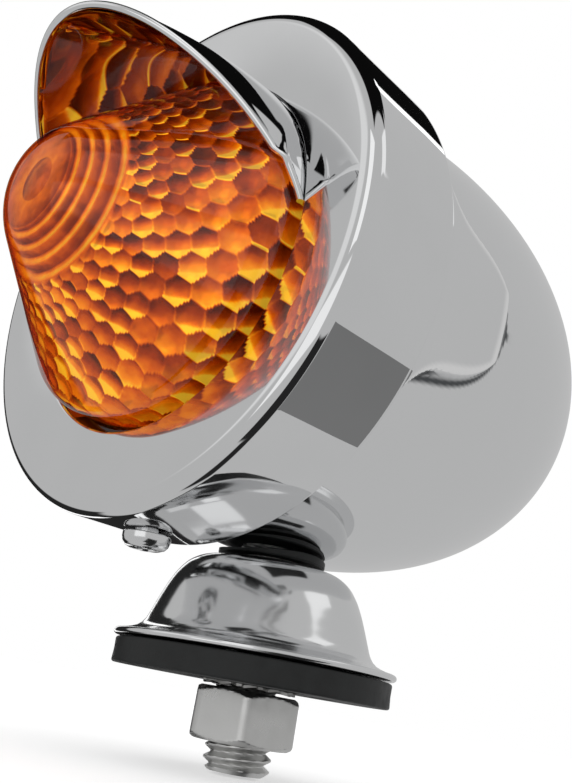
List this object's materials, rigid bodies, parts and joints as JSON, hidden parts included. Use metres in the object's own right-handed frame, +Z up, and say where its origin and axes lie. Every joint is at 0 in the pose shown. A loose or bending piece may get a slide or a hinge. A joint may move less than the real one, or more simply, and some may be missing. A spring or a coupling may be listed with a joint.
{
  "type": "turn signal indicator",
  "caption": "Round chrome bullet turn signal lamp with an amber cone lens, peaked visor and stud mount on a dome base.",
  "frame": {"origin": "on the mounting stud's axis, at the underside of the rubber base pad", "axes": "+Z up along the mounting stud, -Y the way the lens faces, +X the lamp's own left side; the lamp axis runs along Y"},
  "size_m": [0.075, 0.1107, 0.1031],
  "materials": {
    "chrome": "polished chrome plate",
    "zinc": "bright zinc plate",
    "steel": "plain stamped steel",
    "reflector": "vapour-metallised",
    "brass": "plain brass",
    "solder": "solder bead",
    "rubber": "matte black",
    "insulator": "pressed board and black glass",
    "amber": "clear amber, faceted inside",
    "glass": "clear bulb glass",
    "tungsten": "drawn wire"
  },
  "bodies": {
    "base": {"base_pad": "rubber", "dome_base": "chrome"},
    "head": {"housing": "chrome", "bezel": "chrome", "visor": "chrome", "lens": "amber", "lens_gasket": "rubber", "reflector": "reflector", "bulb_socket": "steel", "socket_rivet_left": "steel", "socket_rivet_right": "steel", "contact_spring": "steel", "mounting_stud": "zinc", "backing_washer": "zinc", "seat_washer": "rubber", "bezel_screw": "chrome", "bezel_clip": "zinc"},
    "contact": {"contact_plate": "insulator", "contact_button": "brass"},
    "bulb": {"bulb_cap": "brass", "bulb_insulator": "insulator", "bulb_contact": "solder", "bulb_pin_left": "brass", "bulb_pin_right": "brass", "bulb_glass": "glass", "bulb_stem": "glass", "filament_post_left": "steel", "filament_post_right": "steel", "filament": "tungsten"},
    "washer": {"star_washer": "steel"},
    "nut": {"hex_nut": "zinc"}
  },
  "joints": [
    {"name": "head_swivel", "type": "hinge", "parent": "base", "child": "head", "pos_m": [0, 0, 0], "axis": [0, 0, 1], "range_deg": [-180, 180]},
    {"name": "contact_travel", "type": "slide", "parent": "head", "child": "contact", "axis": [0, 1, 0], "range_m": [0, 0.002], "stiffness_N_per_m": 1500, "springref_m": -0.002, "deforming": ["contact_spring"]},
    {"name": "bulb_turn", "type": "hinge", "parent": "contact", "child": "bulb", "pos_m": [0, 0, 0.0539], "axis": [0, -1, 0], "range_deg": [0, 25]},
    {"name": "nut_travel", "type": "slide", "parent": "head", "child": "washer", "axis": [0, 0, -1], "range_m": [0, 0.011]},
    {"name": "nut_turn", "type": "hinge", "parent": "washer", "child": "nut", "pos_m": [0, 0, 0], "axis": [0, 0, -1], "range_deg": [0, 2499]}
  ],
  "couplings": [
    {"joint": "nut_turn", "follows": "nut_travel", "rad_per_m": 3957.9}
  ]
}
